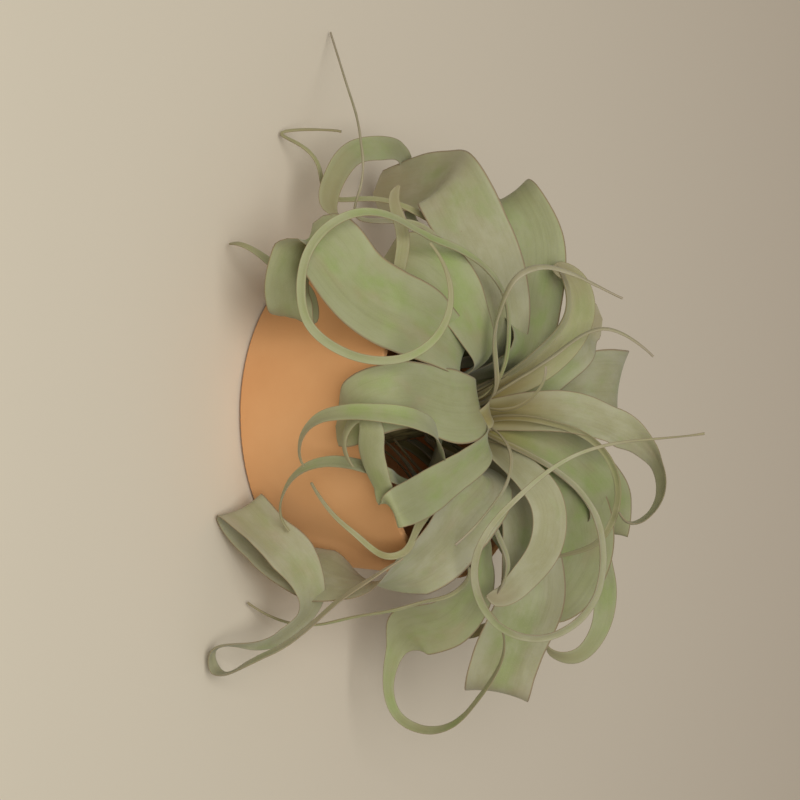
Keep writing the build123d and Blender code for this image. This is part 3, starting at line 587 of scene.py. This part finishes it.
# geometry nodes: a cupped, lens-shaped blade swept along the route
def leafTree(build):
    tree = bpy.data.node_groups.new("leafBlade", "GeometryNodeTree")
    sockets = {
        "Geometry": "Geometry", "Material": "Material", "Sections": "Int", "Across Points": "Int",
        "Width": "Float", "Seat Width": "Float", "Grow": "Float", "Waist": "Float", "Neck": "Float",
        "Tip Width": "Float", "Thickness": "Float", "Cup": "Float", "Wave": "Float", "Seed": "Float",
    }
    for name, kind in sockets.items():
        tree.interface.new_socket(name=name, in_out="INPUT", socket_type="NodeSocket" + kind)
    tree.interface.new_socket(name="Geometry", in_out="OUTPUT", socket_type="NodeSocketGeometry")
    given = addNode(tree, "NodeGroupInput").outputs

    # the route in even steps keeps how far along it is, its share of the width, its place and its directions
    steps = addNode(tree, "GeometryNodeResampleCurve", {"mode": "COUNT"}, {
        "Curve": given["Geometry"], "Count": given["Sections"]}).outputs[0]
    share = addNode(tree, "GeometryNodeBlurAttribute", {"data_type": "FLOAT"}, {
        "Value": addNode(tree, "GeometryNodeInputRadius").outputs[0],
        "Iterations": build["widthRounds"]}).outputs[0]
    parameter = addNode(tree, "GeometryNodeSplineParameter").outputs
    route = addNode(tree, "GeometryNodeCaptureAttribute")
    tree.links.new(steps, route.inputs[0])
    for kind, name, source in (
            ("FLOAT", "along", parameter["Factor"]),
            ("FLOAT", "metres", parameter["Length"]),
            ("FLOAT", "share", share),
            ("VECTOR", "centre", addNode(tree, "GeometryNodeInputPosition").outputs[0]),
            ("VECTOR", "normal", addNode(tree, "GeometryNodeInputNormal").outputs[0]),
            ("VECTOR", "tangent", addNode(tree, "GeometryNodeInputTangent").outputs[0]),
    ):
        route.capture_items.new(kind, name)
        tree.links.new(source, route.inputs[name])

    # the profile is a unit circle: x runs across the blade, y from its under side to its upper side
    circle = addNode(tree, "GeometryNodeCurvePrimitiveCircle", None, {
        "Resolution": given["Across Points"], "Radius": 1.0}).outputs[0]
    profile = addNode(tree, "GeometryNodeCaptureAttribute")
    profile.capture_items.new("VECTOR", "place")
    tree.links.new(circle, profile.inputs[0])
    tree.links.new(addNode(tree, "GeometryNodeInputPosition").outputs[0], profile.inputs["place"])
    swept = addNode(tree, "GeometryNodeCurveToMesh", None, {
        "Curve": route.outputs[0], "Profile Curve": profile.outputs[0], "Fill Caps": True}).outputs[0]
    values = {name: given[name] for name in ("Width", "Tip Width", "Thickness", "Cup", "Wave", "Seed")}
    values.update({name: route.outputs[name] for name in ("along", "metres", "share")})
    values["across"], values["upper"] = addNode(tree, "ShaderNodeSeparateXYZ", None, {
        0: profile.outputs["place"]}).outputs[0:2]

    # a leaf without widths is narrow at the stem, widest at grow and slimmer at the neck; all end at the tip
    values["grown"] = addNode(tree, "ShaderNodeMapRange", {"interpolation_type": "SMOOTHSTEP"}, {
        "Value": values["along"], "From Max": given["Grow"], "To Min": given["Seat Width"]}).outputs[0]
    values["slimmed"] = addNode(tree, "ShaderNodeMapRange", None, {
        "Value": values["along"], "From Min": given["Grow"], "From Max": given["Neck"], "To Min": 1.0,
        "To Max": given["Waist"]}).outputs[0]
    values["late"] = addNode(tree, "ShaderNodeMapRange", None, {
        "Value": values["along"], "From Min": given["Neck"]}).outputs[0]

    # slow uneven swells of the width, and ripples for the edges
    place = addNode(tree, "ShaderNodeCombineXYZ", None, {
        "X": values["metres"], "Y": values["Seed"], "Z": values["across"]}).outputs[0]
    for name, scale, shift in (
            ("swelling", (build["swells"], 1, 0), (0, 0, 0)),
            ("ripple", (build["waves"], 1, build["waveAcross"]), (0, build["waveShift"], 0)),
    ):
        spread = addNode(tree, "ShaderNodeVectorMath", {"operation": "MULTIPLY_ADD"}, {
            0: place, 1: scale, 2: shift}).outputs[0]
        values[name] = addNode(tree, "ShaderNodeTexNoise", None, {
            "Vector": spread, "Scale": 1.0, "Detail": build["unevenDetail"]}).outputs[0]

    # each sum by name, from the ones before it
    sums = (
        ("ended", "POWER", "late", build["tipPower"]),
        ("kept", "SUBTRACT", 1.0, "ended"),
        ("swelling", "MULTIPLY_ADD", "swelling", build["swell"], 1 - build["swell"] / 2),
        ("breadth", "MULTIPLY", "Width", "share"),
        ("breadth", "MULTIPLY", "breadth", "grown"),
        ("breadth", "MULTIPLY", "breadth", "slimmed"),
        ("breadth", "MULTIPLY", "breadth", "kept"),
        ("breadth", "MULTIPLY_ADD", "Tip Width", "ended", "breadth"),
        ("breadth", "MULTIPLY", "breadth", "swelling"),
        # cross-section: an arc of that breadth, cupped upwards and shallower towards the tip
        ("easing", "MULTIPLY_ADD", "along", -build["flatter"], 1.0),
        ("bend", "MULTIPLY", "Cup", "easing"),
        ("half", "MULTIPLY", "breadth", 0.5),
        ("radius", "DIVIDE", "half", "bend"),
        ("angle", "MULTIPLY", "bend", "across"),
        ("sine", "SINE", "angle"),
        ("cosine", "COSINE", "angle"),
        ("edgeCosine", "COSINE", "bend"),
        ("sink", "SUBTRACT", 1.0, "edgeCosine"),
        ("lift", "SUBTRACT", 1.0, "cosine"),
        ("lift", "MULTIPLY_ADD", "sink", -build["sunk"], "lift"),
        ("rise", "MULTIPLY", "radius", "lift"),
        ("sideways", "MULTIPLY", "radius", "sine"),
        # the thickness stands square to the arc
        ("thick", "MULTIPLY", "upper", "Thickness"),
        ("thick", "MULTIPLY", "thick", 0.5),
        ("lean", "MULTIPLY", "thick", "sine"),
        ("sideways", "SUBTRACT", "sideways", "lean"),
        ("rise", "MULTIPLY_ADD", "thick", "cosine", "rise"),
        # the noise runs from 0 to 1, so half is taken off before it ripples the edges
        ("ripple", "SUBTRACT", "ripple", 0.5),
        ("ripple", "MULTIPLY", "ripple", "Wave"),
        ("edgeward", "MULTIPLY", "across", "across"),
        ("rise", "MULTIPLY_ADD", "ripple", "edgeward", "rise"),
        # what the leaf's material reads
        ("acrossMm", "MULTIPLY", "across", "half"),
        ("acrossMm", "MULTIPLY", "acrossMm", 1 / mm),
        ("alongMm", "MULTIPLY", "metres", 1 / mm),
        ("shift", "MULTIPLY", "Seed", build["markShift"]),
    )
    for name, operation, *terms in sums:
        values[name] = addNode(tree, "ShaderNodeMath", {"operation": operation}, {
            i: values[term] if isinstance(term, str) else term for i, term in enumerate(terms)}).outputs[0]

    # every point goes sideways and up from the middle line
    edge = addNode(tree, "ShaderNodeVectorMath", {"operation": "SCALE"}, {
        0: route.outputs["normal"], "Scale": -1.0}).outputs[0]
    upward = addNode(tree, "ShaderNodeVectorMath", {"operation": "CROSS_PRODUCT"}, {
        0: route.outputs["tangent"], 1: edge}).outputs[0]
    moved = route.outputs["centre"]
    for direction, distance in ((edge, values["sideways"]), (upward, values["rise"])):
        moved = addNode(tree, "ShaderNodeVectorMath", {"operation": "MULTIPLY_ADD"}, {
            0: direction, 1: distance, 2: moved}).outputs[0]
    shaped = addNode(tree, "GeometryNodeSetPosition", None, {"Geometry": swept, "Position": moved}).outputs[0]
    # the material reads these two by their names
    for name, parts in (
            ("bladeMm", ("acrossMm", "alongMm", "shift")),
            ("bladeShare", ("across", "along", "upper")),
    ):
        value = addNode(tree, "ShaderNodeCombineXYZ", None, {
            i: values[part] for i, part in enumerate(parts)}).outputs[0]
        shaped = addNode(tree, "GeometryNodeStoreNamedAttribute", {"data_type": "FLOAT_VECTOR"}, {
            "Geometry": shaped, "Name": name, "Value": value}).outputs[0]
    smooth = addNode(tree, "GeometryNodeSetShadeSmooth", None, {0: shaped, "Shade Smooth": True}).outputs[0]
    real = addNode(tree, "GeometryNodeRealizeInstances", None, {"Geometry": smooth}).outputs[0]
    dressed = addNode(tree, "GeometryNodeSetMaterial", None, {
        "Geometry": real, "Material": given["Material"]}).outputs[0]
    addNode(tree, "NodeGroupOutput", None, {"Geometry": dressed})
    return tree


# a plain mesh from the tree run on the source; a modifier's input is set by the identifier of its socket
def runTree(source, tree, values, name):
    modifier = source.modifiers.new(name, "NODES")
    modifier.node_group = tree
    for item in tree.interface.items_tree:
        if item.in_out == "INPUT" and item.name in values:
            modifier[item.identifier] = values[item.name]
    bpy.context.view_layer.update()
    graph = bpy.context.evaluated_depsgraph_get()
    mesh = bpy.data.meshes.new_from_object(source.evaluated_get(graph))
    bpy.data.objects.remove(source)
    mesh.name = name
    piece = bpy.data.objects.new(name, mesh)
    bpy.context.collection.objects.link(piece)
    return piece


def buildLeaves(build, materials):
    tree = leafTree(build)
    for number, (name, leaf) in enumerate(leaves.items()):
        route, length = leafRoute(name, leaf, build)
        hasWidths = "widths" in leaf
        narrowness = max(0, 1 - leaf["width"] / build["channelUnder"])
        piece = runTree(route, tree, {
            "Material": materials[leaf["skin"]],
            "Sections": max(build["fewestSections"], round(length / build["sectionSpacing"])),
            "Across Points": build["acrossPoints"],
            "Width": leaf["width"] * build["widestLeaf"],
            "Seat Width": 1.0 if hasWidths else build["seatWidth"],
            "Grow": build["grow"],
            "Waist": leaf.get("waist", 1.0),
            "Neck": build["lateNeck"] if hasWidths else leaf.get("neck", build["neck"]),
            "Tip Width": build["tipWidth"],
            "Thickness": build["thickness"],
            "Cup": math.radians(leaf.get("cup", build["cup"] + build["channel"] * narrowness)),
            "Wave": build["wave"],
            "Seed": float(number),
        }, name.removeprefix("leaf_") + "Leaf")
        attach(piece, "air_plant")
        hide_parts(name)
    print(len(leaves), "leaves swept")


def newMaterial(name):
    material = bpy.data.materials.new(name)
    material.use_nodes = True
    material.node_tree.nodes.clear()
    return material, material.node_tree


# a ramp's stops, from the first to the last: how far along it each is, and its hex colour
def setRamp(ramp, stops):
    elements = ramp.color_ramp.elements
    for stop in stops[1:-1]:
        elements.new(stop[0])
    for element, (place, code) in zip(elements, stops):
        element.position = place
        element.color = linearColour(code)


# relief, shader and output of a surface with one pattern of colour
def finishSurface(tree, colour, height, finish):
    bump = addNode(tree, "ShaderNodeBump", None, {
        "Height": height, "Strength": finish["reliefStrength"], "Distance": finish["reliefDepth"]})
    shader = addNode(tree, "ShaderNodeBsdfPrincipled", None, {
        "Base Color": colour, "Roughness": finish["roughness"], "Specular IOR Level": finish["specular"],
        "Normal": bump.outputs[0]})
    addNode(tree, "ShaderNodeOutputMaterial", None, {"Surface": shader.outputs[0]})


# bisque terracotta, slip cast and unglazed: dry and even, with a faint cloud of fired colour and fine grit
potFinish = {
    "clay": ((0.3, "d79e69"), (0.5, "dba46f"), (0.72, "dfaa76")),
    "cloud": 60 * mm,
    "cloudDetail": 4.0,
    "cloudRoughness": 0.6,
    "grit": 0.6 * mm,
    "gritDetail": 3.0,
    "reliefStrength": 0.12,
    "reliefDepth": 0.3 * mm,
    "roughness": 0.82,
    "specular": 0.25,
}


def makeTerracotta(finish):
    material, tree = newMaterial("bisqueTerracotta")
    place = addNode(tree, "ShaderNodeTexCoord").outputs["Object"]
    cloud = addNode(tree, "ShaderNodeTexNoise", None, {
        "Vector": place, "Scale": 1 / finish["cloud"], "Detail": finish["cloudDetail"],
        "Roughness": finish["cloudRoughness"]}).outputs["Fac"]
    ramp = addNode(tree, "ShaderNodeValToRGB", None, {"Fac": cloud})
    setRamp(ramp, finish["clay"])
    # half, because one step of this noise holds a grain and a gap
    grit = addNode(tree, "ShaderNodeTexNoise", None, {
        "Vector": place, "Scale": 0.5 / finish["grit"], "Detail": finish["gritDetail"]}).outputs["Fac"]
    finishSurface(tree, ramp.outputs["Color"], grit, finish)
    return material


# pressed cork: matt granules from dark to light brown, each a little dented
corkFinish = {
    "browns": ((0, "6e4a2c"), (1, "a67c50")),
    "granule": 1.8 * mm,
    "reliefStrength": 0.4,
    "reliefDepth": 0.4 * mm,
    "roughness": 0.9,
    "specular": 0.5,
}


def makeCork(finish):
    material, tree = newMaterial("pressedCork")
    place = addNode(tree, "ShaderNodeTexCoord").outputs["Object"]
    granules = addNode(tree, "ShaderNodeTexVoronoi", None, {
        "Vector": place, "Scale": 1 / finish["granule"]}).outputs
    ramp = addNode(tree, "ShaderNodeValToRGB", None, {"Fac": granules["Color"]})
    setRamp(ramp, finish["browns"])
    finishSurface(tree, ramp.outputs["Color"], granules["Distance"], finish)
    return material


# dry stem wrapped in old leaf bases: papery brown with fibres that run up it
stemFinish = {
    "browns": ((0.3, "4f4526"), (0.7, "9a8f5c")),
    "fibre": 1.2 * mm,
    "fibreDetail": 3.0,
    "fibreStretch": 0.12,    # the pattern's scale along the stem, against across it
    "reliefStrength": 0.5,
    "reliefDepth": 0.5 * mm,
    "roughness": 0.9,
    "specular": 0.5,
}


def makeStem(finish):
    material, tree = newMaterial("dryStemFibre")
    place = addNode(tree, "ShaderNodeTexCoord").outputs["Object"]
    stretched = addNode(tree, "ShaderNodeMapping", None, {
        "Vector": place, "Scale": (1, 1, finish["fibreStretch"])}).outputs[0]
    fibres = addNode(tree, "ShaderNodeTexNoise", None, {
        "Vector": stretched, "Scale": 1 / finish["fibre"], "Detail": finish["fibreDetail"]}).outputs["Fac"]
    ramp = addNode(tree, "ShaderNodeValToRGB", None, {"Fac": fibres})
    setRamp(ramp, finish["browns"])
    finishSurface(tree, ramp.outputs["Color"], fibres, finish)
    return material


# air plant blade: leathery, under a grey bloom of fine scales that takes all gloss off and pales the colour;
# each skin's darker under tone is painted shade on the blade's under side
leafSkins = {
    "silver": {"blade": "9a9772", "vein": "8a8660", "flush": "8f9a62", "blush": "a39479", "under": "868262",
               "base": "84743a", "tip": "978b6c", "margin": "8c7558", "bloom": "afac91", "bloomAmount": 0.5},
    "green": {"blade": "94966a", "vein": "838459", "flush": "889a52", "blush": "9c916c", "under": "8b8a62",
              "base": "84753a", "tip": "948b66", "margin": "8a7252", "bloom": "a7a785", "bloomAmount": 0.36},
    "olive": {"blade": "979367", "vein": "857f55", "flush": "929761", "blush": "9c906a", "under": "857f5a",
              "base": "826f38", "tip": "8c8060", "margin": "8a7a54", "bloom": "aaa585", "bloomAmount": 0.3},
    "rose": {"blade": "9b9572", "vein": "897f5c", "flush": "969867", "blush": "a3937a", "under": "8d8566",
             "base": "84743e", "tip": "998b77", "margin": "8c7b5c", "bloom": "b1aa92", "bloomAmount": 0.4},
}

# what all skins share
leafFinish = {
    "roughness": 0.62,
    "specular": 0.25,
    "sheen": 0.12,           # of the scales in grazing light
    "sheenRoughness": 0.6,
    "glow": 0.1,             # share of the light that passes through the skin
    "glowDepth": 1 * mm,
    "glowColours": (0.9, 1.0, 0.4),  # how deep red, green and blue go, in shares of that
    "noiseRoughness": 0.6,
    "specks": 0.11,          # in a millimetre
}


def makeLeaf(name, skin, finish):
    material, tree = newMaterial(name + "ScaledLeaf")
    place = addNode(tree, "ShaderNodeAttribute", {"attribute_name": "bladeMm"}).outputs["Vector"]
    share = addNode(tree, "ShaderNodeAttribute", {"attribute_name": "bladeShare"}).outputs["Vector"]
    across, along, upper = addNode(tree, "ShaderNodeSeparateXYZ", None, {0: share}).outputs[0:3]
    fromSeat = addNode(tree, "ShaderNodeSeparateXYZ", None, {0: place}).outputs[1]
    edge = addNode(tree, "ShaderNodeMath", {"operation": "ABSOLUTE"}, {0: across}).outputs[0]
    sources = {"along": along, "upper": upper, "edge": edge, "fromSeat": fromSeat}

    # noises by millimetre of blade: scale across, scale along, detail, and a start that keeps any two apart
    for source, scaleAcross, scaleAlong, detail, start in (
            ("veins", 1.1, 0.012, 3.0, 48.5),     # fine lines every millimetre or so, all along the blade
            ("folds", 0.16, 0.008, 1.5, 58.2),    # soft lengthwise creases, about 6 mm apart
            ("drifts", 0.1, 0.055, 5.0, 67.9),    # drifts of bloom, a centimetre or two long
            ("flushes", 0.05, 0.03, 3.0, 77.6),   # yellow-green flushes
            ("blushes", 0.06, 0.03, 2.0, 87.3),   # brown-pink tinge
            ("dust", 2.4, 1.8, 2.0, 97.0),        # scale dust, drawn at 0.4 mm so that it shows
    ):
        spread = addNode(tree, "ShaderNodeMapping", None, {
            "Vector": place, "Location": (start, 0, 0), "Scale": (scaleAcross, scaleAlong, 1)}).outputs[0]
        sources[source] = addNode(tree, "ShaderNodeTexNoise", None, {
            "Vector": spread, "Scale": 1.0, "Detail": detail,
            "Roughness": finish["noiseRoughness"]}).outputs["Fac"]
    # dark specks half a millimetre wide, one in a centimetre or so
    sources["specks"] = addNode(tree, "ShaderNodeTexVoronoi", None, {
        "Vector": place, "Scale": finish["specks"]}).outputs["Distance"]

    # colour in layers: where each starts, where it is full, how strong it gets and its tone
    colour = linearColour(skin["blade"])
    for source, start, full, strength, tone in (
            ("veins", 0.55, 0.3, 0.35, "vein"),
            ("flushes", 0.46, 0.68, 0.75, "flush"),
            ("blushes", 0.55, 0.75, 0.6, "blush"),
            # painted shade: the under side of every blade is darkened towards the under tone
            ("upper", 0.15, -0.15, 0.5, "under"),
            ("drifts", 0.38, 0.7, skin["bloomAmount"], "bloom"),
            ("dust", 0.5, 0.75, 0.3, "bloom"),
            ("fromSeat", 48, 8, 0.85, "base"),
            ("along", 0.8, 1.0, 0.8, "tip"),
            ("edge", 0.4, 0.95, 0.3, "bloom"),
            ("edge", 0.94, 0.98, 0.8, "margin"),
            ("specks", 0.032, 0.02, 0.6, "margin"),
    ):
        mask = addNode(tree, "ShaderNodeMapRange", {"interpolation_type": "SMOOTHSTEP"}, {
            "Value": sources[source], "From Min": start, "From Max": full, "To Max": strength}).outputs[0]
        colour = addNode(tree, "ShaderNodeMix", {"data_type": "RGBA"}, {
            "Factor": mask, 6: colour, 7: linearColour(skin[tone])}).outputs[2]
    # relief: the creases first, then the fine lines and the dust on them, each by its strength and its depth
    relief = {}
    for source, strength, depth in (
            ("folds", 0.5, 1.6 * mm),
            ("veins", 0.25, 0.2 * mm),
            ("dust", 0.15, 0.1 * mm),
    ):
        relief["Normal"] = addNode(tree, "ShaderNodeBump", None, {
            "Height": sources[source], "Strength": strength, "Distance": depth, **relief}).outputs[0]
    shader = addNode(tree, "ShaderNodeBsdfPrincipled", None, {
        "Base Color": colour, "Roughness": finish["roughness"], "Specular IOR Level": finish["specular"],
        "Subsurface Weight": finish["glow"], "Subsurface Radius": finish["glowColours"],
        "Subsurface Scale": finish["glowDepth"], "Sheen Weight": finish["sheen"],
        "Sheen Roughness": finish["sheenRoughness"], **relief})
    addNode(tree, "ShaderNodeOutputMaterial", None, {"Surface": shader.outputs[0]})
    return material


skinMaterials = {name: makeLeaf(name, skin, leafFinish) for name, skin in leafSkins.items()}
buildLeaves(leafBuild, skinMaterials)

nodeMaterials = {
    "holder_pot": makeTerracotta(potFinish),
    "base_pad": makeCork(corkFinish),
    "plant_stem": makeStem(stemFinish),
}
for node, material in nodeMaterials.items():
    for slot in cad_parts[node].material_slots:
        slot.material = material
print("materials on the holder and stem")

# seamless matt paper, without any gloss: level under the holder, then curving up far behind; in metres. The
# paper's tone grows lighter from near to far, which is painted light towards the back
sweepSetup = {
    "front": 1.6,
    "back": 2.2,
    "wide": 6.0,
    "curve": 0.8,            # radius
    "curveSteps": 12,
    "rise": 1.6,             # above the curve
    "near": "d4cab6",
    "far": "e8dbc8",
    "fadeFrom": -0.2,        # the near tone ends here, and the far one is full at fadeTo
    "fadeTo": 0.75,
    "roughness": 0.9,
    "specular": 0.1,
}


def makeSweep(setup):
    profile = [(-setup["front"], 0.0), (setup["back"], 0.0)]
    for i in range(1, setup["curveSteps"] + 1):
        angle = math.radians(90 * i / setup["curveSteps"])
        profile.append((
            setup["back"] + setup["curve"] * math.sin(angle),
            setup["curve"] * (1 - math.cos(angle)),
        ))
    profile.append((setup["back"] + setup["curve"], setup["curve"] + setup["rise"]))
    half = setup["wide"] / 2
    points = [(x, y, z) for y, z in profile for x in (-half, half)]
    faces = [(2 * i, 2 * i + 1, 2 * i + 3, 2 * i + 2) for i in range(len(profile) - 1)]
    mesh = bpy.data.meshes.new("paperSweep")
    mesh.from_pydata(points, [], faces)
    for polygon in mesh.polygons:
        polygon.use_smooth = True
    sweep = bpy.data.objects.new("paperSweep", mesh)
    bpy.context.collection.objects.link(sweep)
    material, tree = newMaterial("matteSweepPaper")
    place = addNode(tree, "ShaderNodeTexCoord").outputs["Object"]
    depth = addNode(tree, "ShaderNodeSeparateXYZ", None, {0: place}).outputs[1]
    fade = addNode(tree, "ShaderNodeMapRange", None, {
        "Value": depth, "From Min": setup["fadeFrom"], "From Max": setup["fadeTo"]})
    # painted light: the paper fades from the near tone to the lighter far one with depth
    tone = addNode(tree, "ShaderNodeMix", {"data_type": "RGBA"}, {
        "Factor": fade.outputs[0], 6: linearColour(setup["near"]), 7: linearColour(setup["far"])})
    shader = addNode(tree, "ShaderNodeBsdfPrincipled", None, {
        "Base Color": tone.outputs[2], "Roughness": setup["roughness"],
        "Specular IOR Level": setup["specular"]})
    addNode(tree, "ShaderNodeOutputMaterial", None, {"Surface": shader.outputs[0]})
    mesh.materials.append(material)


makeSweep(sweepSetup)

# one large soft light in front of the holder and above it, and the room's own fill; places in metres
lightSetup = {
    "boxSize": 1.0,
    "boxPlace": (-0.1, -1.05, 1.15),
    "boxAim": (0, 0, 0.05),
    "boxWatts": 17.5,
    "room": "f2eee6",
    "roomLevel": 0.33,
}


def makeLights(setup):
    data = bpy.data.lights.new("softBox", "AREA")
    data.shape = "SQUARE"
    data.size = setup["boxSize"]
    data.energy = setup["boxWatts"]
    lamp = bpy.data.objects.new("softBox", data)
    bpy.context.collection.objects.link(lamp)
    lamp.location = setup["boxPlace"]
    aim = Vector(setup["boxAim"]) - Vector(setup["boxPlace"])
    lamp.rotation_euler = aim.to_track_quat("-Z", "Y").to_euler()
    world = bpy.data.worlds.new("room")
    world.use_nodes = True
    world.node_tree.nodes.clear()
    sky = addNode(world.node_tree, "ShaderNodeBackground", None, {
        "Color": linearColour(setup["room"]), "Strength": setup["roomLevel"]})
    addNode(world.node_tree, "ShaderNodeOutputWorld", None, {"Surface": sky.outputs[0]})
    bpy.context.scene.world = world


makeLights(lightSetup)
bpy.context.scene.view_settings.view_transform = "Standard"
print("sweep and lights ready")
